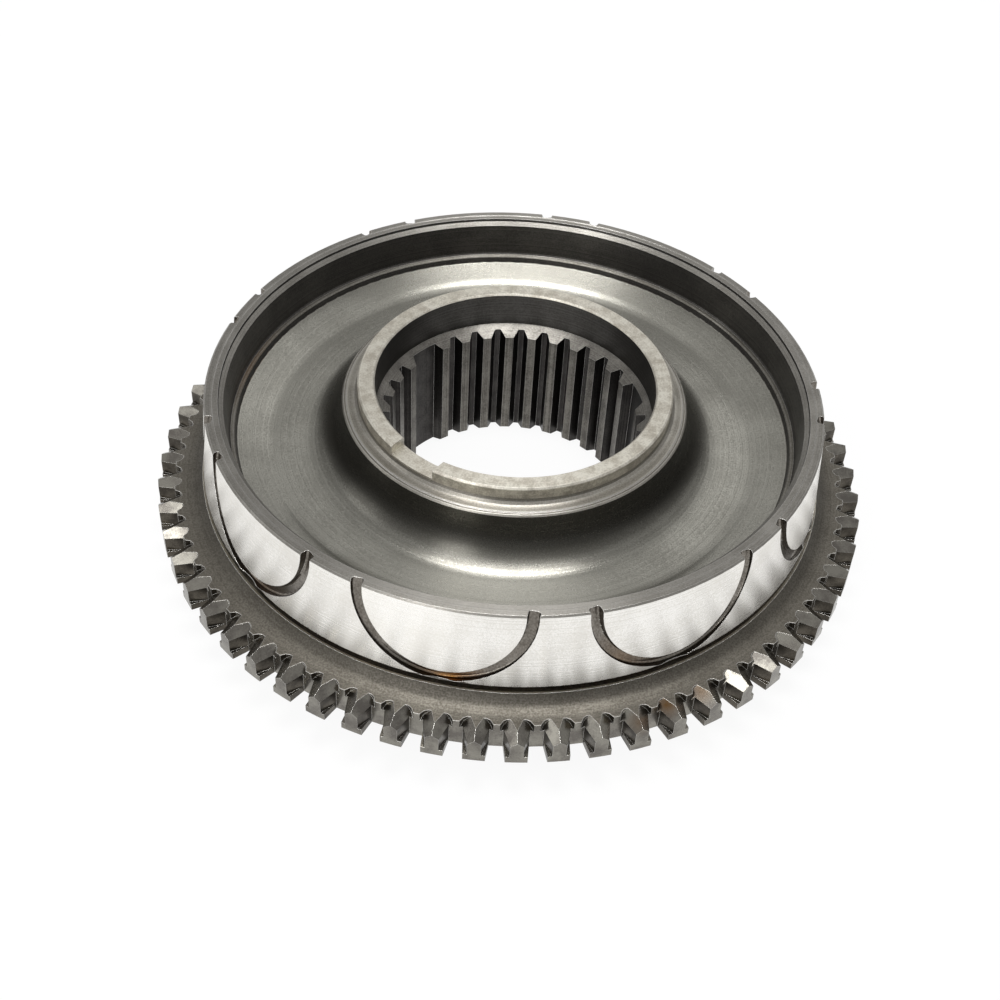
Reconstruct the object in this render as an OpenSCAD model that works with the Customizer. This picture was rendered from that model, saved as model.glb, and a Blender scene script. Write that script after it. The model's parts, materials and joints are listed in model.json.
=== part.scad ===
// Synchronizer clutch body: a forged and machined steel disc with a ring of pointed dog teeth,
// a ground friction cone with arched oil grooves, a dished web and a splined hub.
// Millimetres, +Z up. The origin is the centre of the hub's lower face, on which the body stands.

/* [Dog teeth] */
// Number of dog teeth round the ring
tooth_count = 60; // [54:1:64]
// Radius over the tooth tips
tip_radius = 100; // [99:0.25:102]
// Radial depth of the gaps between the teeth
tooth_depth = 4.8; // [4.2:0.1:5.4]
// Half of a tooth's width where it leaves the root floor
root_half = 3.25; // [3.05:0.05:3.4]
// Half of the width of the stop part at the tip, under the step
stop_half = 2.8; // [2.6:0.05:3]
// Half of the width of the pointed part at the tip, over the step
point_half = 1.7; // [1.5:0.05:2.2]
// Height of the step between stop part and pointed part
stop_height = 2.1; // [1.6:0.1:2.8]
// Height of the roof's ridge at the tip
ridge_height = 7.45; // [7:0.05:7.8]
// Fall of the ridge towards the tip, in degrees
ridge_fall = 17.7; // [15:0.1:20]
// Slope of the two roof faces, in degrees
roof_angle = 36; // [33:0.5:38]
// How far the roof cut runs into the flange behind the root floor
pocket_reach = 1.8; // [1.2:0.1:2.2]
// Half of the width of the roof cut at the root floor
pocket_half = 4.2; // [3.9:0.05:4.35]
// How far the point between the cut's two lobes stands out of its end
lobe_point = 0.9; // [0.6:0.1:1.2]
// Distance of a lobe's end from the tooth's middle, at its near side
lobe_near = 1.3; // [1:0.1:1.6]
// Width of a lobe's end
lobe_width = 1.1; // [0.8:0.1:1.3]
// Angle of the first tooth, in degrees
tooth_phase = 3; // [0:0.5:6]

/* [Flange] */
// Height of the tooth ring's lower face above the hub's lower face
ring_lift = 10; // [8:0.5:11]
// Thickness of the flange at the teeth
flange_height = 8.45; // [8.3:0.05:9]
// Radius of the hollow that runs from the flange up to the cone
flange_hollow = 7.5; // [7:0.25:9]
// Width of the tooth ring's lower face, from the tips to the underside recess
ring_width = 24; // [20:0.5:26]
// How far the wall of the underside recess leans in
under_lean = 3; // [2:0.25:4]
// Radius of the fillet between that wall and the web
under_fillet = 5; // [4:0.25:6]

/* [Friction cone] */
// How far the cone's rim lies inside the tooth tips
rim_inset = 15.25; // [14.75:0.25:16]
// Height of the rim above the tooth ring's lower face
rim_height = 36.45; // [34:0.25:38]
// Half angle of the cone, in degrees
cone_angle = 5; // [4:0.25:6]
// Height at which the cone meets its foot relief
cone_foot = 12.9; // [12.6:0.1:13.4]
// Depth of the relief cut at the cone's foot
relief_depth = 1.5; // [1:0.1:2]
// Width of the relief's floor
relief_width = 1; // [0.6:0.1:1.2]
// Height of the slope from the relief's floor up to the cone
relief_slope = 0.9; // [0.6:0.1:1.2]
// Number of oil grooves round the cone
groove_count = 9; // [6:1:10]
// Radius of each groove's arch
groove_radius = 21.7; // [20:0.1:22]
// Drop of the arch's centre under the rim
groove_drop = 1.5; // [0.5:0.1:2]
// Width of an oil groove
groove_width = 3; // [2:0.25:4]
// Depth of an oil groove at the rim
groove_depth = 1.7; // [1.2:0.1:2]
// Lean of the groove's floor, in degrees
groove_lean = 12; // [11:0.25:13]
// Corner radius of the groove's floor
groove_corner = 0.7; // [0.4:0.1:0.9]

/* [Rim recess and web] */
// Width of the rim's top face, from the cone to the recess
rim_width = 3.8; // [3.25:0.05:4.25]
// Width of the shallow step round the mouth
step_width = 1.5; // [1:0.1:1.8]
// Depth of the shallow step round the mouth
step_depth = 0.15; // [0.1:0.05:0.3]
// Height of the mouth's wall, and of the bevel under it
mouth_depth = 0.95; // [0.8:0.05:1.2]
// How far the recess wall stands in from the mouth
recess_inset = 1.35; // [0.95:0.1:1.95]
// How far the recess wall leans in towards its ledge
recess_lean = 0.85; // [0.6:0.05:1.1]
// How far the edge of the web's outer land lies inside the recess wall
land_inset = 2.85; // [2.35:0.25:3.6]
// Height of the web's outer land above the tooth ring's lower face
land_height = 22.7; // [21:0.25:24]
// Height of the ledge round the land
ledge_height = 1.85; // [1.4:0.05:2.4]
// Size of the ledge's rounded corners
ledge_corner = 0.3; // [0.2:0.05:0.4]
// Share of the web's width that the outer land takes
land_share = 0.3; // [0.2:0.02:0.4]
// Share of the web's width over which it falls from the land to its inner flat
fall_share = 0.34; // [0.26:0.02:0.5]
// Depth of the web's inner flat under the land
web_dip = 4.3; // [3:0.1:6]
// Thickness of the web under its inner flat
web_thickness = 7.5; // [6:0.25:9]
// Rise of the web's underside from the hub to the ring
web_rise = 3; // [2:0.25:4]
// Radius of the fillet between the web's underside and the hub
web_fillet = 4; // [3:0.25:5]

/* [Hub] */
// Overall height of the hub
hub_height = 48.4; // [47.5:0.1:50]
// Outer radius of the hub's top ring
hub_radius = 43.4; // [42.5:0.1:44]
// Radius of the collar round the top ring
collar_radius = 47.7; // [47:0.1:48.5]
// Drop of the collar's top face under the hub's top face
collar_drop = 5.2; // [4.6:0.1:6]
// Width of the step round the collar's top face
collar_band = 1.1; // [0.8:0.1:1.4]
// Depth of the step round the collar's top face
collar_step = 0.25; // [0.15:0.05:0.4]
// Height of the collar's upright wall over the fillet that rises from the web
collar_wall = 4.3; // [3:0.1:8]
// Radius of the fillet between collar and top ring
hub_fillet = 1.8; // [1.4:0.1:1.8]
// Outer radius of the hub under the web
foot_radius = 47; // [46:0.25:50]
// Bevel of the hub's lower edge and of the ring's inner edge
foot_edge = 1; // [0.6:0.1:1.4]
// Bevel of the other turned edges
edge = 0.45; // [0.3:0.05:0.6]
// Radius of the smooth counterbore
counterbore_radius = 38.63; // [38.2:0.05:39.2]
// Depth of the counterbore
counterbore_depth = 10.5; // [9:0.25:12]
// Width of the slot in the top ring
slot_width = 14; // [8:0.5:18]
// Depth of the slot in the top ring
slot_depth = 2.8; // [1.5:0.1:3]
// Angle of the slot, in degrees
slot_angle = -127; // [-180:1:180]

/* [Spline] */
// Number of spline positions, three of which are left without a tooth
spline_count = 33; // [30:3:36]
// Radius of the spline's root floor
spline_root = 37.1; // [36.8:0.05:37.6]
// Radius of the spline's tooth tips
spline_tip = 34.6; // [34.2:0.05:35]
// Width of a spline tooth at its tip
spline_tip_width = 2.35; // [2:0.05:2.6]
// Lean of the spline's flanks, in degrees
spline_flank = 34; // [30:0.5:36]
// Angle of the first missing tooth, in degrees
spline_phase = 17.5; // [0:0.5:120]
// Slope of the lead-in above the spline, in degrees
lead_in = 30; // [20:1:40]

/* [Hidden] */
$fn = 120;
steel = "#7d7b78";
// How far a cut runs past the metal
clear = 2;
root_radius = tip_radius - tooth_depth;
pitch = 360 / tooth_count;
flange_top = ring_lift + flange_height;
under_radius = tip_radius - ring_width;
rim_radius = tip_radius - rim_inset;
rim_top = ring_lift + rim_height;
foot_z = ring_lift + cone_foot;
cone_run = (rim_height - cone_foot) * tan(cone_angle);
foot_cone = rim_radius + cone_run;
relief_low = foot_z - relief_slope - relief_width;
hollow_turn = acos(1 - (relief_low - flange_top) / flange_hollow);
hollow_start = foot_cone + edge + flange_hollow * sin(hollow_turn);
mouth_radius = rim_radius - rim_width;
recess_radius = mouth_radius - recess_inset;
land_radius = recess_radius - land_inset;
land_z = ring_lift + land_height;
ledge_z = land_z + ledge_height;
dip_z = land_z - web_dip;
web_under = dip_z - web_thickness;
collar_z = hub_height - collar_drop;
collar_fillet = collar_z - collar_step - edge - collar_wall - dip_z;
web_foot = collar_radius + collar_fillet;
land_end = land_radius - land_share * (land_radius - web_foot);
fall_end = land_end - fall_share * (land_radius - web_foot);
floor_radius = rim_radius - groove_depth - groove_radius * groove_radius / (2 * rim_radius);
lead_drop = (counterbore_radius - spline_tip) * tan(lead_in);

// Points of an arc about a centre, from one angle to another, in equal steps.
function arc(centre, radius, from, to, steps) =
    [for (i = [0 : steps]) let (a = from + (to - from) * i / steps)
        centre + radius * [cos(a), sin(a)]];

// Points of the web's fall from the outer land to its inner flat: half a wave.
function web_fall(steps) =
    [for (i = [0 : steps]) let (s = i / steps)
        [land_end + (fall_end - land_end) * s, land_z - web_dip * (1 - cos(180 * s)) / 2]];

// Half section of the turned body, radius against height, as a closed list of points.
function hub_foot() = concat(
    [[spline_tip + edge, 0], [foot_radius - foot_edge, 0], [foot_radius, foot_edge]],
    arc([foot_radius + web_fillet, web_under - web_fillet], web_fillet, 180, 90, 3));

function ring_under() = concat(
    arc([under_radius - under_lean - under_fillet, web_under + web_rise - under_fillet],
        under_fillet, 90, 10, 4),
    [[under_radius - foot_edge, ring_lift + foot_edge], [under_radius, ring_lift],
     [tip_radius, ring_lift], [tip_radius, flange_top]]);

function cone_side() = concat(
    arc([hollow_start, flange_top + flange_hollow], flange_hollow, -90, -90 - hollow_turn, 4),
    [[foot_cone - edge / 2, relief_low - edge / 2],
     [foot_cone - relief_depth, relief_low],
     [foot_cone - relief_depth, foot_z - relief_slope],
     [foot_cone, foot_z],
     [rim_radius + edge * tan(cone_angle), rim_top - edge],
     [rim_radius - edge, rim_top]]);

function rim_inside() = [
    [mouth_radius + step_width + step_depth, rim_top],
    [mouth_radius + step_width, rim_top - step_depth],
    [mouth_radius, rim_top - step_depth],
    [mouth_radius - step_depth, rim_top - mouth_depth],
    [recess_radius, rim_top - 2 * mouth_depth],
    [recess_radius - recess_lean, ledge_z + 2 * ledge_corner],
    [recess_radius - recess_lean - ledge_corner, ledge_z + ledge_corner / 2],
    [land_radius + 3 * ledge_corner, ledge_z],
    [land_radius + 2 * ledge_corner, ledge_z - ledge_corner],
    [land_radius + ledge_corner / 2, land_z + ledge_corner / 2],
    [land_radius, land_z]];

function collar_side() = concat(
    arc([web_foot, dip_z + collar_fillet], collar_fillet, -90, -180, 8),
    [[collar_radius, collar_z - collar_step - edge],
     [collar_radius - edge, collar_z - collar_step],
     [collar_radius - collar_band, collar_z - collar_step],
     [collar_radius - collar_band - collar_step / 2, collar_z]],
    arc([hub_radius + hub_fillet, collar_z + hub_fillet], hub_fillet, -90, -180, 3));

function hub_inside() = [
    [hub_radius, hub_height - edge],
    [hub_radius - edge, hub_height],
    [counterbore_radius + edge, hub_height],
    [counterbore_radius, hub_height - edge],
    [counterbore_radius, hub_height - counterbore_depth],
    [spline_tip, hub_height - counterbore_depth - lead_drop],
    [spline_tip, edge]];

// The body as it leaves the lathe.
module turned_body() {
    color(steel)
        rotate_extrude()
            polygon(concat(hub_foot(), ring_under(), cone_side(), rim_inside(),
                           web_fall(10), collar_side(), hub_inside()));
}

// One gap between two teeth, tapering inwards to the root floor.
module gap_outline(half) {
    root_gap = root_radius * sin(pitch / 2) - root_half;
    tip_gap = tip_radius * sin(pitch / 2) - half;
    grow = (tip_gap - root_gap) / tooth_depth;
    open_gap = tip_gap + clear * grow;
    polygon([[root_radius, -root_gap], [tip_radius + clear, -open_gap],
             [tip_radius + clear, open_gap], [root_radius, root_gap]]);
}

// All the gaps, wider over the step than under it.
module tooth_gaps() {
    color(steel) {
        translate([0, 0, ring_lift - clear])
            linear_extrude(flange_height + 2 * clear)
                for (i = [0 : tooth_count - 1])
                    rotate(tooth_phase + pitch * (i + 0.5))
                        gap_outline(stop_half);
        translate([0, 0, ring_lift + stop_height])
            linear_extrude(flange_height)
                for (i = [0 : tooth_count - 1])
                    rotate(tooth_phase + pitch * (i + 0.5))
                        gap_outline(point_half);
    }
}

// The cut that leaves one tooth's roof: two slopes that meet at a falling ridge, with upright
// walls where it ends in the flange.
module roof_cut() {
    outer = tip_radius + clear;
    inner = root_radius - pocket_reach;
    lobe_far = lobe_near + lobe_width;
    side = [[inner, lobe_near], [inner, lobe_far],
            [inner + pocket_reach / 4, (lobe_far + pocket_half) / 2],
            [root_radius, pocket_half], [outer, pocket_half]];
    plan = concat([[inner + lobe_point, 0]], side, [[outer, 0]],
                  [for (i = [len(side) - 1 : -1 : 0]) [side[i][0], -side[i][1]]]);
    n = len(plan);
    mid = len(side) + 1;
    lift = ring_lift + ridge_height;
    low = [for (p = plan)
        [p[0], p[1], lift + (tip_radius - p[0]) * tan(ridge_fall) - abs(p[1]) * tan(roof_angle)]];
    high = [for (p = plan) [p[0], p[1], flange_top + clear]];
    polyhedron(concat(low, high), concat(
        [[for (i = [mid : -1 : 0]) i]],
        [concat([0], [for (i = [n - 1 : -1 : mid]) i])],
        [[for (i = [0 : n - 1]) n + i]],
        [for (i = [0 : n - 1]) let (j = (i + 1) % n) [i, j, n + j, n + i]]));
}

// The roofs of all the teeth.
module tooth_roofs() {
    color(steel)
        for (i = [0 : tooth_count - 1])
            rotate(tooth_phase + pitch * i)
                roof_cut();
}

// One arched oil groove: a round channel about an axis that points outwards and up a little.
module groove_cut() {
    near = groove_radius - groove_width / 2;
    translate([floor_radius, 0, rim_top - groove_drop])
        rotate([0, 90 - groove_lean, 0])
            rotate_extrude() {
                translate([near, groove_corner])
                    square([groove_width, 2 * groove_depth + clear]);
                translate([near + groove_corner, 0])
                    square([groove_width - 2 * groove_corner, groove_depth]);
                for (r = [near + groove_corner, near + groove_width - groove_corner])
                    translate([r, groove_corner])
                        circle(groove_corner);
            }
}

// The oil grooves round the friction cone.
module oil_grooves() {
    color(steel)
        for (i = [0 : groove_count - 1])
            rotate(360 / groove_count * (i + 0.5))
                groove_cut();
}

// The space inside the spline: a round bore less the teeth, with three teeth left out.
module spline_space() {
    past = edge;
    base_half = spline_tip_width / 2 + (spline_root + past - spline_tip) * tan(spline_flank);
    bore_half = spline_tip_width / 2 - past * tan(spline_flank);
    color(steel)
        translate([0, 0, -clear])
            linear_extrude(hub_height - counterbore_depth + clear / 2)
                difference() {
                    circle(spline_root);
                    for (i = [0 : spline_count - 1])
                        if (i % (spline_count / 3) != 0)
                            rotate(spline_phase + 360 / spline_count * i)
                                polygon([[spline_tip - past, -bore_half],
                                         [spline_root + past, -base_half],
                                         [spline_root + past, base_half],
                                         [spline_tip - past, bore_half]]);
                }
}

// The slot across one side of the hub's top ring.
module hub_slot() {
    color(steel)
        rotate(slot_angle)
            translate([0, -slot_width / 2, hub_height - slot_depth])
                cube([hub_radius + clear, slot_width, slot_depth + clear]);
}

// The whole clutch body.
module clutch_body() {
    color(steel)
        difference() {
            turned_body();
            tooth_gaps();
            tooth_roofs();
            oil_grooves();
            spline_space();
            hub_slot();
        }
}

clutch_body();
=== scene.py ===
"""Looks of a synchronizer clutch body: steel finishes, the web's profile, studio and camera."""
import json
import logging
import math
from dataclasses import dataclass, field
from enum import Enum

import bpy
from mathutils import Matrix, Vector

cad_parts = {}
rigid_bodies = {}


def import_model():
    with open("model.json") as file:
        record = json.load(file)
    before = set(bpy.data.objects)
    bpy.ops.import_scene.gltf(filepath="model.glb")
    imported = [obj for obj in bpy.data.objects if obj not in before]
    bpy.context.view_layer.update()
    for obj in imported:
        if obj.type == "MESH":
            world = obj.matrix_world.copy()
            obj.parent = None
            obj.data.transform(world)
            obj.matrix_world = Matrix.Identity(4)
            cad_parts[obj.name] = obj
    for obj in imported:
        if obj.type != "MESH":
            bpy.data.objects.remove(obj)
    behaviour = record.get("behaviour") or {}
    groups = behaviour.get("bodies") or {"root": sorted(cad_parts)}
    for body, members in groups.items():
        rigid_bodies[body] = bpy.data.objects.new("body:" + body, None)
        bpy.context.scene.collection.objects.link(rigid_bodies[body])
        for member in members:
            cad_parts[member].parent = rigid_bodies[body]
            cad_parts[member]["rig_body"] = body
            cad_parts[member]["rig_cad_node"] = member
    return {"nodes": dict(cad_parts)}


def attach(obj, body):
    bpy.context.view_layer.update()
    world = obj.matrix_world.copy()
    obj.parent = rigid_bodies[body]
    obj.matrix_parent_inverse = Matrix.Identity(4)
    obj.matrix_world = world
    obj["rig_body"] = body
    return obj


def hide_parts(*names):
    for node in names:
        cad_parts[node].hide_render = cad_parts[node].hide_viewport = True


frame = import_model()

LOG = logging.getLogger("clutch_body")
MM = 0.001
UM = 0.000001
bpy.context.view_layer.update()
WHITE = (1.0, 1.0, 1.0, 1.0)
# Colours of dried oil, of painted shade towards corners and of rubbed edges with a painted
# highlight, as sRGB hex.
DRIED_OIL = "#6a4a22"
CORNER_SHADE_COLOUR = "#1d1b18"
WORN_EDGE_HIGHLIGHT = "#dddbd7"
# Band that a sum of noise patterns keeps to; it is stretched to fill zero to one.
TONE_LOW, TONE_HIGH = 0.4, 0.6
# Finer layers in the noise of tool marks, dull patches and satin grain.
MARK_DETAIL, PATCH_DETAIL, GRAIN_DETAIL = 2.0, 4.0, 1.0
# Gain of an oil stain, as the pattern that breaks it up lies near one half.
STAIN_GAIN = 1.8
# Cosine of the turn over an edge at which the edge's wear and painted highlight start and at which
# they are full.
WEAR_AND_HIGHLIGHT_START, WEAR_AND_HIGHLIGHT_FULL = 0.995, 0.9
EDGE_SAMPLES = 6
# Part of a full turn that lays the stretch of reflections across the tool marks.
ACROSS_MARKS = 0.25


def linear(hex_colour: str) -> tuple[float, float, float, float]:
    """Turns an sRGB hex colour into linear values for a colour socket.

    Args:
        hex_colour: Six hex digits after a hash sign.

    Returns:
        Red, green, blue and an alpha of one.
    """
    channels = []
    for start in (1, 3, 5):
        value = int(hex_colour[start:start + 2], 16) / 255
        channels.append(value / 12.92 if value <= 0.04045 else ((value + 0.055) / 1.055) ** 2.4)
    return (*channels, 1.0)


def add_node(tree: bpy.types.NodeTree, kind: str,
             inputs: dict[str | int, object] | None = None,
             **settings: object) -> bpy.types.Node:
    """Adds a node, sets its properties and fills or links its inputs.

    Args:
        tree: Node tree that gets the node.
        kind: Blender's type name of the node.
        inputs: Input name or index to a value or to an output socket.
        **settings: Properties of the node itself.

    Returns:
        The new node.
    """
    node = tree.nodes.new(kind)
    for name, value in settings.items():
        setattr(node, name, value)
    for key, value in (inputs or {}).items():
        if isinstance(value, bpy.types.NodeSocket):
            tree.links.new(value, node.inputs[key])
        else:
            node.inputs[key].default_value = value
    return node


def empty_tree(owner: bpy.types.Material | bpy.types.World) -> bpy.types.NodeTree:
    """Gives a material or a world an empty node tree.

    Args:
        owner: Material or world that gets the tree.

    Returns:
        The empty tree.
    """
    owner.use_nodes = True
    owner.node_tree.nodes.clear()
    return owner.node_tree


def noise(tree: bpy.types.NodeTree, place: bpy.types.NodeSocket, size_mm: float,
          detail: float) -> bpy.types.NodeSocket:
    """Adds an even noise pattern.

    Args:
        tree: Node tree that gets the pattern.
        place: Socket with Object coordinates.
        size_mm: Size of the pattern's patches.
        detail: Number of finer layers in the pattern.

    Returns:
        Socket with the pattern, from zero to one.
    """
    return add_node(tree, "ShaderNodeTexNoise",
                    {"Vector": place, "Scale": 1 / (size_mm * MM),
                     "Detail": detail}).outputs["Fac"]


def blend(tree: bpy.types.NodeTree, share: bpy.types.NodeSocket, first: object,
          second: object) -> bpy.types.NodeSocket:
    """Mixes two colours.

    Args:
        tree: Node tree that gets the mix.
        share: Socket with the share of the second colour.
        first: First colour, as a socket or as linear values.
        second: Second colour, as a socket or as linear values.

    Returns:
        Socket of the mixed colour.
    """
    return add_node(tree, "ShaderNodeMix", {"Factor": share, "A": first, "B": second},
                    data_type="RGBA").outputs["Result"]


class ToolMarks(Enum):
    """Way in which a tool left its fine marks on a surface."""

    TURNED = "rings about the axis"
    BROACHED = "lines along the axis"
    MILLED = "even grain"


@dataclass(frozen=True)
class OilStain:
    """A brown trace of dried oil.

    Attributes:
        place_mm: Middle of the stain.
        reach_mm: Distance at which the stain has faded out.
        strength: Share of the oil's colour at its middle.
    """

    place_mm: tuple[float, float, float]
    reach_mm: float
    strength: float = 1.0


@dataclass(frozen=True)
class CornerShade:
    """Painted shade that darkens towards a corner.

    Attributes:
        start_mm: Distance from the axis at which the painted shade starts.
        end_mm: Distance from the axis at which it is darkest.
        strength: Share of the shade's colour where it is darkest.
    """

    start_mm: float
    end_mm: float
    strength: float


@dataclass(frozen=True)
class SteelFinish:
    """One way in which a surface of the alloy steel was finished.

    Attributes:
        name: Material name, after the metal and how it was worked.
        light: Colour of the bright metal, as sRGB hex.
        dark: Colour of the duller patches, as sRGB hex.
        roughness: Mean roughness of the surface.
        spread: How far the roughness swings about its mean.
        marks: Way in which the tool left its marks.
        mark_mm: Distance between tool marks, drawn coarser than the real feed so that they show.
        mark_um: Depth of the tool marks.
        grain_mm: Size of the satin grain, drawn coarser than the real one so that it shows.
        grain_um: Depth of the satin grain.
        patch_mm: Size of the duller patches.
        shares: Weights of patches, tool marks and grain in the surface's tone.
        stretch: Stretch of the reflections across the tool marks.
        edge_mm: Radius of the broken edges.
        edge_shine: Share of the pale colour of worn metal and painted highlight on the broken
            edges.
        stains: Traces of dried oil.
        corner_shade: Painted shade that darkens towards a corner.
    """

    name: str
    light: str
    dark: str
    roughness: float
    spread: float = 0.04
    marks: ToolMarks = ToolMarks.TURNED
    mark_mm: float = 0.5
    mark_um: float = 1.5
    grain_mm: float = 0.45
    grain_um: float = 1.0
    patch_mm: float = 9.0
    shares: tuple[float, float, float] = (0.35, 0.3, 0.35)
    stretch: float = 0.75
    edge_mm: float = 0.12
    edge_shine: float = 0.5
    stains: tuple[OilStain, ...] = ()
    corner_shade: CornerShade | None = None

    @staticmethod
    def axis_distance(tree: bpy.types.NodeTree,
                      place: bpy.types.NodeSocket) -> bpy.types.NodeSocket:
        """Adds the distance from the axis of rotation.

        Args:
            tree: Node tree that gets the distance.
            place: Socket with Object coordinates.

        Returns:
            Socket with the distance, in metres.
        """
        flat = add_node(tree, "ShaderNodeVectorMath", {0: place, 1: (1, 1, 0)},
                        operation="MULTIPLY")
        return add_node(tree, "ShaderNodeVectorMath", {0: flat.outputs["Vector"]},
                        operation="LENGTH").outputs["Value"]

    def mark_lines(self, tree: bpy.types.NodeTree,
                   place: bpy.types.NodeSocket) -> bpy.types.NodeSocket:
        """Adds the pattern of the tool marks.

        Args:
            tree: Node tree that gets the pattern.
            place: Socket with Object coordinates.

        Returns:
            Socket with the pattern, from zero to one.
        """
        if self.marks is ToolMarks.MILLED:
            return noise(tree, place, self.mark_mm, MARK_DETAIL)
        split = add_node(tree, "ShaderNodeSeparateXYZ", {0: place})
        if self.marks is ToolMarks.BROACHED:
            first, second = split.outputs["X"], split.outputs["Y"]
        else:
            first, second = self.axis_distance(tree, place), split.outputs["Z"]
        along = add_node(tree, "ShaderNodeMath", {0: first, 1: second}, operation="ADD")
        step = add_node(tree, "ShaderNodeMath", {0: along.outputs[0], 1: 1 / (self.mark_mm * MM)},
                        operation="MULTIPLY")
        return add_node(tree, "ShaderNodeTexNoise",
                        {"W": step.outputs[0], "Scale": 1.0, "Detail": MARK_DETAIL},
                        noise_dimensions="1D").outputs["Fac"]

    def tone(self, tree: bpy.types.NodeTree,
             parts: list[bpy.types.NodeSocket]) -> bpy.types.NodeSocket:
        """Weighs patches, tool marks and grain into one tone.

        Args:
            tree: Node tree that gets the sum.
            parts: Sockets of patches, tool marks and grain.

        Returns:
            Socket with the tone, stretched to fill zero to one.
        """
        total: bpy.types.NodeSocket | float = 0.0
        for part, share in zip(parts, self.shares):
            total = add_node(tree, "ShaderNodeMath", {0: part, 1: share, 2: total},
                             operation="MULTIPLY_ADD").outputs[0]
        return add_node(tree, "ShaderNodeMapRange",
                        {"Value": total, "From Min": TONE_LOW,
                         "From Max": TONE_HIGH}).outputs[0]

    def stained_and_shade_painted(self, tree: bpy.types.NodeTree, place: bpy.types.NodeSocket,
                patches: bpy.types.NodeSocket,
                colour: bpy.types.NodeSocket) -> bpy.types.NodeSocket:
        """Lays the oil stains and the painted corner shade over a colour.

        Args:
            tree: Node tree that gets the stains.
            place: Socket with Object coordinates.
            patches: Socket of the pattern that breaks the stains up.
            colour: Socket of the clean colour.

        Returns:
            Socket of the colour with stains and painted shade.
        """
        for stain in self.stains:
            spot = tuple(value * MM for value in stain.place_mm)
            gap = add_node(tree, "ShaderNodeVectorMath", {0: place, 1: spot}, operation="DISTANCE")
            fade = add_node(tree, "ShaderNodeMapRange",
                            {"Value": gap.outputs["Value"], "From Max": stain.reach_mm * MM,
                             "To Min": STAIN_GAIN * stain.strength, "To Max": 0.0})
            blot = add_node(tree, "ShaderNodeMath", {0: fade.outputs[0], 1: patches},
                            operation="MULTIPLY", use_clamp=True)
            colour = blend(tree, blot.outputs[0], colour, linear(DRIED_OIL))
        # Painted shade: the colour darkens towards a corner.
        if self.corner_shade:
            depth = add_node(tree, "ShaderNodeMapRange",
                             {"Value": self.axis_distance(tree, place),
                              "From Min": self.corner_shade.start_mm * MM,
                              "From Max": self.corner_shade.end_mm * MM, "To Max": self.corner_shade.strength})
            colour = blend(tree, depth.outputs[0], colour, linear(CORNER_SHADE_COLOUR))
        return colour

    def relief(self, tree: bpy.types.NodeTree, lines: bpy.types.NodeSocket,
               grain: bpy.types.NodeSocket) -> bpy.types.NodeSocket:
        """Adds up the heights of tool marks and grain.

        Args:
            tree: Node tree that gets the sum.
            lines: Socket of the tool marks.
            grain: Socket of the satin grain.

        Returns:
            Socket with the height, in metres.
        """
        height: bpy.types.NodeSocket | float = 0.0
        for part, depth in ((lines, self.mark_um), (grain, self.grain_um)):
            height = add_node(tree, "ShaderNodeMath", {0: part, 1: depth * UM, 2: height},
                              operation="MULTIPLY_ADD").outputs[0]
        return height

    def edge_wear_and_highlight(self, tree: bpy.types.NodeTree,
             rounded: bpy.types.NodeSocket) -> bpy.types.NodeSocket:
        """Adds the share of bright worn metal and painted highlight, which lies on the broken
        edges.

        Args:
            tree: Node tree that gets the share.
            rounded: Socket of the direction of the surface with broken edges.

        Returns:
            Socket with the share.
        """
        plain = add_node(tree, "ShaderNodeNewGeometry")
        turn = add_node(tree, "ShaderNodeVectorMath", {0: rounded, 1: plain.outputs["Normal"]},
                        operation="DOT_PRODUCT")
        return add_node(tree, "ShaderNodeMapRange",
                        {"Value": turn.outputs["Value"], "From Min": WEAR_AND_HIGHLIGHT_START,
                         "From Max": WEAR_AND_HIGHLIGHT_FULL, "To Max": self.edge_shine}).outputs[0]

    def material(self) -> bpy.types.Material:
        """Builds the finish as a procedural material on Object coordinates.

        Returns:
            The new material.
        """
        made = bpy.data.materials.new(self.name)
        tree = empty_tree(made)
        place = add_node(tree, "ShaderNodeTexCoord").outputs["Object"]
        lines = self.mark_lines(tree, place)
        patches = noise(tree, place, self.patch_mm, PATCH_DETAIL)
        grain = noise(tree, place, self.grain_mm, GRAIN_DETAIL)
        tone = self.tone(tree, [patches, lines, grain])
        metal = blend(tree, tone, linear(self.dark), linear(self.light))
        stained_and_shade_painted = self.stained_and_shade_painted(tree, place, patches, metal)
        rounded = add_node(tree, "ShaderNodeBevel", {"Radius": self.edge_mm * MM},
                           samples=EDGE_SAMPLES).outputs[0]
        # Pale colour on the broken edges: partly wear, partly a painted highlight.
        colour = blend(tree, self.edge_wear_and_highlight(tree, rounded), stained_and_shade_painted, linear(WORN_EDGE_HIGHLIGHT))
        rough = add_node(tree, "ShaderNodeMapRange",
                         {"Value": tone, "To Min": self.roughness + self.spread,
                          "To Max": self.roughness - self.spread})
        bump = add_node(tree, "ShaderNodeBump",
                        {"Height": self.relief(tree, lines, grain), "Distance": 1.0,
                         "Strength": 1.0, "Normal": rounded})
        around = add_node(tree, "ShaderNodeTangent", direction_type="RADIAL", axis="Z")
        shader = add_node(tree, "ShaderNodeBsdfPrincipled",
                          {"Base Color": colour, "Metallic": 1.0, "Roughness": rough.outputs[0],
                           "Anisotropic": self.stretch, "Anisotropic Rotation": ACROSS_MARKS,
                           "Normal": bump.outputs[0], "Tangent": around.outputs[0]})
        add_node(tree, "ShaderNodeOutputMaterial", {"Surface": shader.outputs[0]})
        return made


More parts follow.
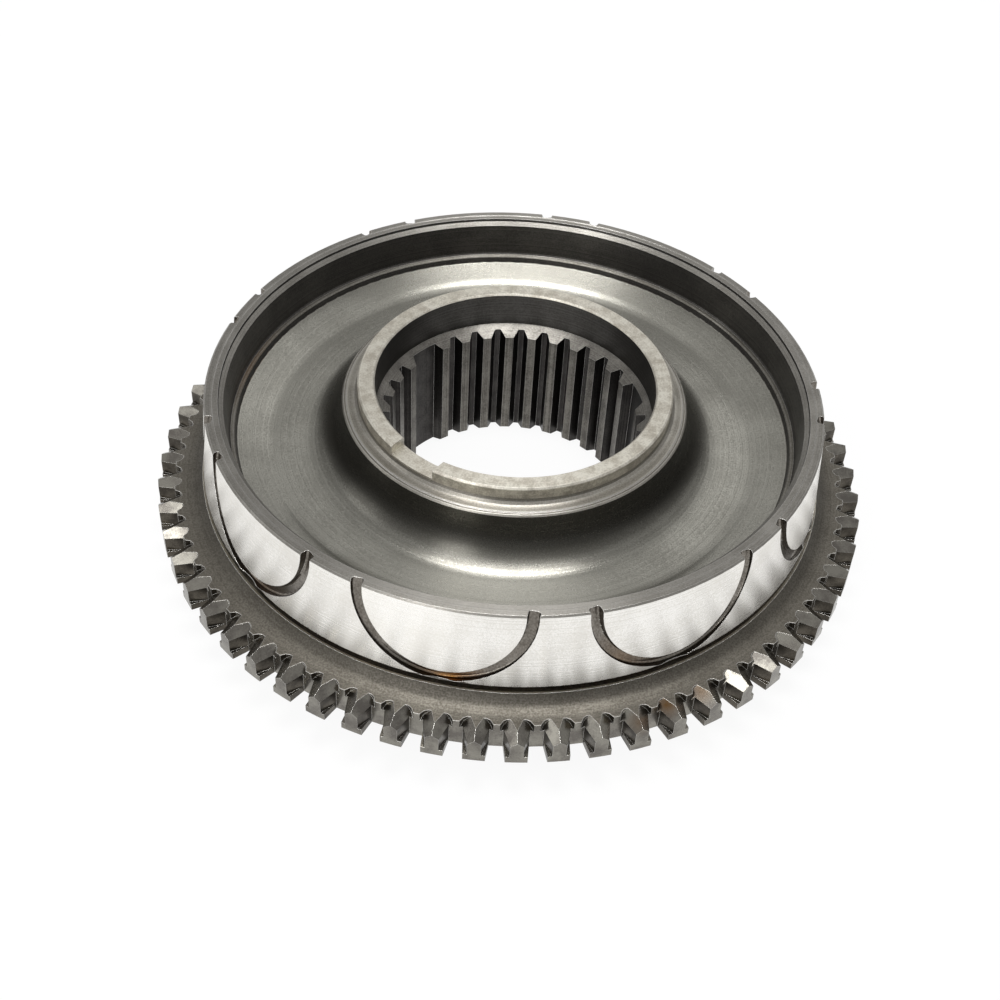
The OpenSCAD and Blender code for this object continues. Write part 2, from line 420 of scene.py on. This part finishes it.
class Region(Enum):
    """Surfaces of the body that were worked in different ways."""

    # Fine grinding about the axis: nearly a mirror round the cone, blurred along its slope.
    CONE = SteelFinish("ground_alloy_steel", "#fdfbf7", "#eeebe4", 0.29, mark_mm=0.4, mark_um=0.3,
                       grain_um=0.2, patch_mm=12.0, stretch=0.85, edge_mm=0.1)
    # A small round cutter and old oil: satin half-round channel with brown traces.
    GROOVE = SteelFinish("oiled_milled_alloy_steel", "#86817a", "#5f5a53", 0.2,
                         marks=ToolMarks.MILLED, mark_um=0.1, grain_um=0.1, patch_mm=5.0,
                         stretch=0.0, edge_mm=0.2, edge_shine=0.9,
                         stains=(OilStain((-12.9, -84.6, 23.0), 11.0),
                                 OilStain((28.8, -80.6, 25.0), 14.0, 0.5),
                                 OilStain((-62.4, -58.6, 24.2), 12.0, 0.4)))
    # A facing cut across the rim: satin rings that catch the light as narrow fans.
    RIM = SteelFinish("faced_alloy_steel", "#9a9791", "#7f7c76", 0.38, mark_mm=0.6, mark_um=2.0,
                      edge_mm=0.2, edge_shine=0.8)
    # The undercut at the cone's foot: a narrow gap that stays black with oil.
    UNDERCUT = SteelFinish("oiled_grooved_alloy_steel", "#6f695f", "#4c4740", 0.35, stretch=0.3,
                           edge_mm=0.2)
    # The lip beside the undercut: rubbed bright, its pale colour partly a painted highlight along
    # the lip.
    LIP = SteelFinish("rubbed_and_highlit_alloy_steel", "#fbf5e6", "#d5cdbb", 0.45, patch_mm=6.0,
                      shares=(0.7, 0.0, 0.3), stretch=0.0)
    # A boring cut in the deep recess: dark, partly because it mirrors the web in front of it and
    # partly from painted shade in its colour.
    RECESS = SteelFinish("bored_alloy_steel", "#5d5b58", "#454341", 0.36, mark_um=1.0)
    # The turned ledge under the recess wall, with oil left in its corner.
    LEDGE = SteelFinish("oiled_turned_alloy_steel", "#8c8982", "#6c6860", 0.4,
                        stains=(OilStain((-76.6, 16.0, 34.5), 22.0, 0.5),))
    # Turned and then lightly peened: soft satin with a speckle and broad fans front and back;
    # painted shade darkens it towards the collar.
    WEB = SteelFinish("satin_turned_alloy_steel", "#b3b1a8", "#8f8d85", 0.3, patch_mm=14.0,
                      grain_mm=0.32, grain_um=1.5, shares=(0.25, 0.25, 0.5), stretch=0.8,
                      corner_shade=CornerShade(59.0, 50.0, 0.8))
    # A coarser turning feed on the collar: fine bright and dark rings.
    COLLAR = SteelFinish("coarse_turned_alloy_steel", "#aaa69d", "#7d7971", 0.36, mark_mm=0.7,
                         mark_um=3.0, shares=(0.25, 0.5, 0.25), edge_mm=0.3, edge_shine=0.9)
    # A worn contact face: warm light grey, mottled by handling and oil.
    HUB = SteelFinish("worn_faced_alloy_steel", "#dcd8cc", "#aea89c", 0.46, 0.06, patch_mm=3.5,
                      mark_um=1.0, shares=(0.6, 0.1, 0.3), stretch=0.3, edge_shine=0.7)
    # A fine boring cut inside the hub: smooth wall, its dark colour a painted shade inside the
    # bore.
    BORE = SteelFinish("fine_bored_alloy_steel", "#595754", "#474542", 0.4, mark_um=1.0)
    # Broaching along the axis: hollows with upright lines, their dark colour a painted shade.
    SPLINE = SteelFinish("broached_alloy_steel", "#403e3c", "#2b2928", 0.36, 0.05,
                         marks=ToolMarks.BROACHED, mark_mm=0.6, patch_mm=5.0, stretch=0.0,
                         edge_shine=0.8)
    # The bored tips of the spline: worn paler than the flanks.
    TIP = SteelFinish("worn_broached_alloy_steel", "#74716b", "#504d49", 0.4, 0.05,
                      marks=ToolMarks.BROACHED, mark_mm=0.6, patch_mm=5.0, stretch=0.0,
                      edge_shine=0.7)
    # The turned lead-in above the spline: a pale ring that the tooth tops end in, its paleness a
    # painted highlight on these upward faces.
    LEAD = SteelFinish("chamfered_alloy_steel", "#8b8882", "#66635e", 0.4, mark_um=1.0,
                       patch_mm=5.0, edge_shine=0.7)
    # Turned satin between cone and teeth: painted shade darkens it near the cone, paler towards
    # the teeth.
    FLANGE = SteelFinish("dull_turned_alloy_steel", "#726e66", "#58544d", 0.48, mark_um=2.0,
                         grain_um=2.5, shares=(0.25, 0.25, 0.5), stretch=0.2, edge_mm=0.35,
                         edge_shine=0.9, corner_shade=CornerShade(92.0, 87.5, 0.35))
    # Milled and deburred teeth: flat satin facets with bright broken edges, partly worn, partly a
    # painted highlight.
    TEETH = SteelFinish("milled_alloy_steel", "#8a877f", "#696560", 0.25, 0.03,
                        marks=ToolMarks.MILLED, mark_um=0.1, grain_um=0.1, patch_mm=5.0,
                        shares=(0.7, 0.1, 0.2), stretch=0.0, edge_mm=0.15, edge_shine=0.6,
                        stains=(OilStain((41.3, -85.7, 18.4), 4.5, 0.9),
                                OilStain((35.0, -91.4, 18.0), 4.0, 0.5),
                                OilStain((50.3, -80.5, 18.2), 4.5, 0.6)))
    # Milled gaps between the teeth: dark with painted shade, so that each tooth stands out.
    FLANK = SteelFinish("shade_painted_slotted_alloy_steel", "#57524a", "#3b3731", 0.3,
                        marks=ToolMarks.MILLED, mark_um=0.1, grain_um=0.1, patch_mm=4.0,
                        shares=(0.7, 0.1, 0.2), stretch=0.0, edge_mm=0.15, edge_shine=0.6)
    # Plain turning on the underside: even dull rings.
    UNDER = SteelFinish("rough_turned_alloy_steel", "#85827c", "#686560", 0.42, mark_mm=0.7,
                        mark_um=3.0)


@dataclass(frozen=True)
class WebProfile:
    """Profile of the web's upper side: a sloping land, a fold, a flat and a fillet.

    Attributes:
        edge_radius: Radius of the land's outer edge, in mm.
        edge_height: Height of that edge, in mm.
        land_slope: Rise of the land towards its edge, per mm.
        flat_slope: Rise of the inner flat away from the axis, per mm.
        fold_start: Radius at which the land turns into the fold, in mm.
        fold_end: Radius at which the fold has turned into the flat, in mm.
        fold_drop: Drop over the fold, in mm.
        fillet_start: Radius at which the fillet up to the collar starts, in mm.
        collar_radius: Radius at which the fillet stands upright, in mm.
    """

    edge_radius: float = 76.75
    edge_height: float = 32.7
    land_slope: float = 0.29
    flat_slope: float = 0.05
    fold_start: float = 70.5
    fold_end: float = 67.3
    fold_drop: float = 1.1
    fillet_start: float = 59.0
    collar_radius: float = 47.7

    def height(self, radius: float) -> float:
        """Gives the height of the web at a distance from the axis.

        Args:
            radius: Distance from the axis, in mm.

        Returns:
            The height, in mm.
        """
        fold_top = self.edge_height - self.land_slope * (self.edge_radius - self.fold_start)
        if radius >= self.fold_start:
            return fold_top + self.land_slope * (radius - self.fold_start)
        if radius >= self.fold_end:
            width = self.fold_start - self.fold_end
            share = (radius - self.fold_end) / width
            rest = 1 - share
            fall = self.fold_drop * rest * rest * (1 + 2 * share)
            lean = share * rest * (rest * self.flat_slope - share * self.land_slope)
            return fold_top - fall + lean * width
        flat = fold_top - self.fold_drop
        if radius >= self.fillet_start:
            return flat - self.flat_slope * (self.fold_end - radius)
        flat -= self.flat_slope * (self.fold_end - self.fillet_start)
        size = self.fillet_start - self.collar_radius
        reach = min(self.fillet_start - radius, size)
        return flat + size - math.sqrt(size * size - reach * reach)


@dataclass(frozen=True)
class FacePlace:
    """Where a face of the body lies and points, about the axis of rotation.

    Attributes:
        radius: Distance of the face's middle from the axis, in mm.
        height: Height of the face's middle, in mm.
        outward: Part of the face's direction that points away from the axis.
        up: Part of the face's direction that points up.
    """

    radius: float
    height: float
    outward: float
    up: float

    @classmethod
    def of(cls, face: bpy.types.MeshPolygon) -> "FacePlace":
        """Finds where a face lies and points.

        Args:
            face: Face of the body's skin.

        Returns:
            The place of the face.
        """
        centre, normal = face.center, face.normal
        across = math.hypot(centre.x, centre.y)
        outward = (normal.x * centre.x + normal.y * centre.y) / across
        return cls(across / MM, centre.z / MM, outward, normal.z)


@dataclass(frozen=True)
class FaceLimits:
    """Limits within which a face is taken for part of a worked surface.

    Attributes:
        near: Distance within which a face lies on a stated size, in mm.
        facing: Part of a face's direction from which it faces that way.
        square: The same for ledges and tooth ends, which face that way more squarely.
        rim_chamfer: Depth under the rim's top to which its chamfers reach, in mm.
        mouth_wall: Depth under the rim's top to which the mouth's wall reaches, in mm.
        mouth_step: Depth under the rim's top within which the mouth's step lies, in mm.
        mouth_edge: Width of the mouth's edge that counts as outside, in mm.
        cone_gap: Distance from the ground cone within which a face lies on it, in mm.
        cone_tilt: Difference from the cone's upward tilt that a face on it may have.
        cone_facing: Part of a cone face's direction that points outwards.
        flange_edge: Distance inside the flange's start that still is flange, in mm.
        flange_foot: The same for faces under the undercut, in mm.
        flange_rise: Height over the undercut to which the flange rises, in mm.
        lip_rise: Height over the undercut to which the lip rises, in mm.
        lip_up: Part of the lip's direction that points up.
        lip_inward: Part of the lip's direction that points to the axis.
        undercut_rise: Height over its lowest point to which the undercut rises, in mm.
        collar_edge: Height under the collar's wall that still is collar, in mm.
        bore_facing: Part of a bore face's direction that points to the axis.
        lead_up: Part of a lead-in face's direction that points up.
        tip_gap: Distance from the spline's tips within which a face is a tip, in mm.
        foot_gap: Height over the hub's foot from which a face is part of the spline, in mm.
    """

    near: float = 0.05
    facing: float = 0.5
    square: float = 0.7
    rim_chamfer: float = 0.6
    mouth_wall: float = 1.2
    mouth_step: float = 2.0
    mouth_edge: float = 0.2
    cone_gap: float = 0.8
    cone_tilt: float = 0.05
    cone_facing: float = 0.97
    flange_edge: float = 0.1
    flange_foot: float = 1.0
    flange_rise: float = 0.6
    lip_rise: float = 0.3
    lip_up: float = 0.9
    lip_inward: float = 0.2
    undercut_rise: float = 1.3
    collar_edge: float = 0.1
    bore_facing: float = 0.85
    lead_up: float = 0.2
    tip_gap: float = 0.1
    foot_gap: float = 0.01


@dataclass
class ClutchBody:
    """The forged and machined body, as one merged skin over its solid.

    Attributes:
        node: Name of the solid that the skin stands for.
        merge_mm: Distance under which loose corners become one.
        smooth_deg: Largest angle between two faces that shade as one surface.
        facet_deg: The same angle on the teeth, whose facets stay flat.
        rim_radius: Radius of the friction cone at the rim, in mm.
        rim_top: Height of the rim, in mm.
        cone_deg: Half angle of the friction cone.
        cone_foot: Height at which the cone meets the undercut at its foot, in mm.
        relief_low: Height of the lowest point of that undercut, in mm.
        flange_inner: Radius at which the flange starts, in mm.
        flange_top: Height of the flange at the teeth, in mm.
        tooth_inner: Radius at which the cuts between the teeth start, in mm.
        mouth_radius: Radius of the recess at the rim, in mm.
        web_low: Height under which a surface belongs to the underside, in mm.
        collar_foot: Height at which the collar's upright wall starts, in mm.
        hub_radius: Outer radius of the hub's top ring, in mm.
        bore_foot: Height at which the smooth bore ends, in mm.
        spline_tip: Radius of the spline's tooth tips, in mm.
        web: Profile of the web's upper side.
        limits: Limits within which a face is taken for part of a worked surface.
        skin: The skin, once it is built.
    """

    node: str = "clutch_body"
    merge_mm: float = 0.002
    smooth_deg: float = 28.0
    facet_deg: float = 6.0
    rim_radius: float = 84.75
    rim_top: float = 46.45
    cone_deg: float = 5.0
    cone_foot: float = 22.9
    relief_low: float = 20.78
    flange_inner: float = 87.2
    flange_top: float = 18.45
    tooth_inner: float = 93.3
    mouth_radius: float = 80.95
    web_low: float = 26.0
    collar_foot: float = 38.2
    hub_radius: float = 43.4
    bore_foot: float = 37.9
    spline_tip: float = 34.6
    web: WebProfile = WebProfile()
    limits: FaceLimits = FaceLimits()
    skin: bpy.types.Object | None = field(default=None, repr=False)

    def build(self) -> bpy.types.Object:
        """Copies the solid's mesh, merges its corners and shades it smooth between its edges.

        Returns:
            The skin that stands for the solid.
        """
        solid = frame["nodes"][self.node]
        bpy.ops.object.select_all(action="DESELECT")
        solid.select_set(True)
        bpy.context.view_layer.objects.active = solid
        bpy.ops.object.duplicate()
        self.skin = bpy.context.view_layer.objects.active
        self.skin.name = "clutch_body_skin"
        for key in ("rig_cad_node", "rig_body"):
            del self.skin[key]
        bpy.ops.object.mode_set(mode="EDIT")
        bpy.ops.mesh.select_all(action="SELECT")
        bpy.ops.mesh.remove_doubles(threshold=self.merge_mm * MM)
        bpy.ops.object.mode_set(mode="OBJECT")
        self.turn_web()
        bpy.ops.mesh.customdata_custom_splitnormals_clear()
        bpy.ops.object.shade_smooth_by_angle(angle=math.radians(self.smooth_deg))
        normals = self.skin.modifiers.new("weighted_normals", "WEIGHTED_NORMAL")
        normals.keep_sharp = True
        return self.skin

    def turn_web(self) -> None:
        """Brings the corners of the web's upper side onto its profile."""
        near = self.limits.near
        for corner in self.skin.data.vertices:
            radius = math.hypot(corner.co.x, corner.co.y) / MM
            height = corner.co.z / MM
            across = self.web.collar_radius - near < radius < self.web.edge_radius + near
            if across and self.web_low < height < self.collar_foot + near:
                corner.co.z = self.web.height(radius) * MM

    def outer_region(self, place: FacePlace) -> Region:
        """Tells which surface of the cone and its foot a face belongs to.

        Args:
            place: Where the face lies and points.

        Returns:
            The region of the face.
        """
        limits = self.limits
        if place.up > limits.facing and place.height > self.rim_top - limits.rim_chamfer:
            return Region.RIM
        slope = math.radians(self.cone_deg)
        cone = self.rim_radius + (self.rim_top - place.height) * math.tan(slope)
        tilted = abs(place.up - math.sin(slope)) < limits.cone_tilt
        on_cone = abs(place.radius - cone) < limits.cone_gap
        if tilted and on_cone and place.outward > limits.cone_facing:
            return Region.CONE
        in_mouth = place.radius < self.mouth_radius + limits.near
        if in_mouth and place.height > self.rim_top - limits.mouth_wall:
            return Region.RECESS
        on_flange = place.radius > self.flange_inner - limits.flange_edge
        if on_flange and place.height < self.relief_low + limits.flange_rise:
            return Region.FLANGE
        leans_in = place.up > limits.lip_up and place.outward < -limits.lip_inward
        if leans_in and place.height < self.relief_low + limits.lip_rise:
            return Region.LIP
        hangs = place.up < -limits.facing and place.height < self.cone_foot
        if hangs or place.height < self.relief_low + limits.undercut_rise:
            return Region.UNDERCUT
        return Region.GROOVE

    def inner_region(self, place: FacePlace) -> Region:
        """Tells which surface inside the rim a face belongs to.

        Args:
            place: Where the face lies and points.

        Returns:
            The region of the face.
        """
        limits = self.limits
        level = place.up > limits.square
        past_web = place.radius > self.web.edge_radius - limits.near
        if past_web and level and place.height > self.rim_top - limits.mouth_step:
            return Region.RIM
        if past_web and place.height > self.web.edge_height - limits.near:
            return Region.LEDGE if level else Region.RECESS
        past_collar = place.radius > self.web.collar_radius - limits.near
        if past_collar and self.web_low < place.height < self.collar_foot:
            return Region.WEB
        past_hub = place.radius > self.hub_radius + limits.near
        if past_hub and place.height > self.collar_foot - limits.collar_edge:
            wall = past_collar and place.up < limits.facing
            return Region.WEB if wall else Region.COLLAR
        if place.radius > self.spline_tip and place.height > self.bore_foot - limits.near:
            return Region.BORE if place.outward < -limits.bore_facing else Region.HUB
        open_side = place.up > -limits.facing and place.outward < limits.facing
        if open_side and place.radius < self.hub_radius and place.height > limits.foot_gap:
            if place.up > limits.lead_up:
                return Region.LEAD
            tip = place.radius < self.spline_tip + limits.tip_gap
            return Region.TIP if tip else Region.SPLINE
        return Region.UNDER

    def region(self, place: FacePlace) -> Region:
        """Tells which worked surface a face belongs to.

        Args:
            place: Where the face lies and points.

        Returns:
            The region of the face.
        """
        limits = self.limits
        past_mouth = place.radius > self.mouth_radius - limits.mouth_edge
        if past_mouth and place.height > self.relief_low - limits.near:
            return self.outer_region(place)
        past_foot = place.radius > self.flange_inner - limits.flange_foot
        if past_foot and place.up < -limits.facing:
            return Region.UNDER
        on_top = place.up > limits.facing and place.height > self.flange_top - limits.near
        if past_foot and on_top:
            return Region.FLANGE
        if place.radius > self.tooth_inner:
            flank = abs(place.up) < limits.facing and abs(place.outward) < limits.square
            return Region.FLANK if flank else Region.TEETH
        return self.inner_region(place)

    def sharpen(self, milled: tuple[int, ...]) -> None:
        """Marks the borders of the worked surfaces and the teeth's facets as sharp.

        Args:
            milled: Material indices of the teeth and of the gaps between them.
        """
        mesh = self.skin.data
        facet = math.cos(math.radians(self.facet_deg))
        sides: list[list[bpy.types.MeshPolygon]] = [[] for _ in mesh.edges]
        for face in mesh.polygons:
            for loop in face.loop_indices:
                sides[mesh.loops[loop].edge_index].append(face)
        for edge, faces in zip(mesh.edges, sides):
            first, last = faces[0], faces[-1]
            border = first.material_index != last.material_index
            bent = first.material_index in milled and first.normal.dot(last.normal) < facet
            if border or bent:
                edge.use_edge_sharp = True

    def dress(self) -> dict[Region, int]:
        """Gives each face the finish of its region.

        Returns:
            Number of faces in each region.
        """
        mesh = self.skin.data
        mesh.materials.clear()
        index = {}
        for region in Region:
            index[region] = len(mesh.materials)
            mesh.materials.append(region.value.material())
        counts = dict.fromkeys(Region, 0)
        for face in mesh.polygons:
            region = self.region(FacePlace.of(face))
            face.material_index = index[region]
            counts[region] += 1
        self.sharpen((index[Region.TEETH], index[Region.FLANK]))
        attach(self.skin, "root")
        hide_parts(self.node)
        return counts


@dataclass(frozen=True)
class SoftLamp:
    """A soft lamp that faces the body.

    Attributes:
        name: Name of the lamp.
        place_m: Place of the lamp.
        width_m: Width of the lamp.
        height_m: Height of the lamp.
        watts: Power of the lamp.
    """

    name: str
    place_m: tuple[float, float, float]
    width_m: float
    height_m: float
    watts: float

    def hang(self) -> None:
        """Adds the lamp to the scene."""
        data = bpy.data.lights.new(self.name, "AREA")
        data.shape = "RECTANGLE"
        data.size = self.width_m
        data.size_y = self.height_m
        data.energy = self.watts
        lamp = bpy.data.objects.new(self.name, data)
        lamp.location = self.place_m
        lamp.rotation_euler = (-Vector(self.place_m)).to_track_quat("-Z", "Y").to_euler()
        bpy.context.scene.collection.objects.link(lamp)


@dataclass
class Studio:
    """Pale floor, soft lamps, world and camera.

    Attributes:
        floor_m: Half of the floor's side.
        floor_gap_mm: Gap between floor and body, so that their faces don't meet in one plane.
        floor_colour: Colour of the floor, as sRGB hex.
        floor_white: Share of plain white in the floor as the camera sees it.
        room: Strength of the room's light on the body.
        lamps: Soft lamps round the body.
        eye_mm: Place of the camera.
        eye_height_deg: Angle at which the camera looks down.
        eye_roll_deg: Turn of the camera about its line of sight.
        lens_mm: Focal length of the camera.
        sensor_mm: Width of the camera's sensor.
        clip_m: Nearest and farthest distance that the camera sees.
    """

    floor_m: float = 6.0
    floor_gap_mm: float = 0.2
    floor_colour: str = "#f4f4f4"
    floor_white: float = 0.92
    room: float = 0.58
    lamps: tuple[SoftLamp, ...] = (
        SoftLamp("ceiling_soft_lamp", (0.0, 0.06, 1.2), 0.6, 0.3, 8.5),
        SoftLamp("back_soft_lamp", (0.5, 1.05, 1.05), 0.6, 0.6, 0.5),
        SoftLamp("high_soft_lamp", (-0.5, -0.85, 1.1), 0.35, 0.35, 3.0),
        SoftLamp("left_soft_lamp", (-1.1, 0.0, 0.75), 0.45, 0.45, 0.8),
        SoftLamp("front_soft_lamp", (-0.8, -1.3, 0.22), 0.9, 0.4, 4.0),
    )
    eye_mm: tuple[float, float, float] = (-2.41, -317.80, 311.97)
    eye_height_deg: float = 44.30
    eye_roll_deg: float = 3.33
    lens_mm: float = 54.0
    sensor_mm: float = 36.0
    clip_m: tuple[float, float] = (0.01, 50.0)

    def shown_white(self, tree: bpy.types.NodeTree) -> bpy.types.NodeSocket:
        """Adds the share of plain white that a ray sees in the surround.

        Args:
            tree: Node tree that gets the share.

        Returns:
            Socket that is one for glossy and transmission rays and a little less for the camera.
        """
        path = add_node(tree, "ShaderNodeLightPath")
        mirror = add_node(tree, "ShaderNodeMath",
                          {0: path.outputs["Is Glossy Ray"],
                           1: path.outputs["Is Transmission Ray"]}, operation="MAXIMUM")
        seen = add_node(tree, "ShaderNodeMath",
                        {0: path.outputs["Is Camera Ray"], 1: self.floor_white},
                        operation="MULTIPLY")
        return add_node(tree, "ShaderNodeMath", {0: seen.outputs[0], 1: mirror.outputs[0]},
                        operation="MAXIMUM").outputs[0]

    def floor(self) -> bpy.types.Object:
        """Lays the pale floor on which the body stands.

        Returns:
            The floor.
        """
        bpy.ops.object.select_all(action="DESELECT")
        bpy.ops.mesh.primitive_plane_add(size=2 * self.floor_m,
                                         location=(0, 0, -self.floor_gap_mm * MM))
        floor = bpy.context.active_object
        floor.name = "studio_floor"
        # Matt paper: even white that keeps a faint soft shadow.
        made = bpy.data.materials.new("matt_white_paper")
        tree = empty_tree(made)
        paper = add_node(tree, "ShaderNodeBsdfDiffuse", {"Color": linear(self.floor_colour)})
        glow = add_node(tree, "ShaderNodeEmission", {"Color": WHITE, "Strength": 1.0})
        mixed = add_node(tree, "ShaderNodeMixShader",
                         {0: self.shown_white(tree), 1: paper.outputs[0], 2: glow.outputs[0]})
        add_node(tree, "ShaderNodeOutputMaterial", {"Surface": mixed.outputs[0]})
        floor.data.materials.append(made)
        return floor

    def light(self) -> None:
        """Hangs the soft lamps in an even room."""
        for lamp in self.lamps:
            lamp.hang()
        world = bpy.data.worlds.new("even_room")
        bpy.context.scene.world = world
        tree = empty_tree(world)
        path = add_node(tree, "ShaderNodeLightPath")
        strength = add_node(tree, "ShaderNodeMapRange",
                            {"Value": path.outputs["Is Camera Ray"], "To Min": self.room,
                             "To Max": 1.0})
        room = add_node(tree, "ShaderNodeBackground",
                        {"Color": WHITE, "Strength": strength.outputs[0]})
        add_node(tree, "ShaderNodeOutputWorld", {"Surface": room.outputs[0]})

    def camera(self) -> None:
        """Sets the camera at the photograph's viewing angle."""
        data = bpy.data.cameras.new("photo_camera")
        data.lens = self.lens_mm
        data.sensor_width = self.sensor_mm
        data.clip_start, data.clip_end = self.clip_m
        eye = bpy.data.objects.new("photo_camera", data)
        tilt = Matrix.Rotation(math.radians(90 - self.eye_height_deg), 4, "X")
        roll = Matrix.Rotation(math.radians(self.eye_roll_deg), 4, "Z")
        eye.matrix_world = Matrix.Translation(Vector(self.eye_mm) * MM) @ tilt @ roll
        bpy.context.scene.collection.objects.link(eye)
        bpy.context.scene.camera = eye


def main() -> None:
    """Dresses the body, sets the studio and reports each piece."""
    logging.basicConfig(level=logging.INFO, format="%(name)s: %(message)s")
    bpy.context.scene.view_settings.view_transform = "Standard"
    body = ClutchBody()
    skin = body.build()
    counts = body.dress()
    LOG.info("%s: %d faces", skin.name, len(skin.data.polygons))
    for region, count in counts.items():
        LOG.info("  %s: %d faces", region.value.name, count)
    studio = Studio()
    LOG.info("%s laid", studio.floor().name)
    studio.light()
    studio.camera()


if __name__ == "__main__":
    main()
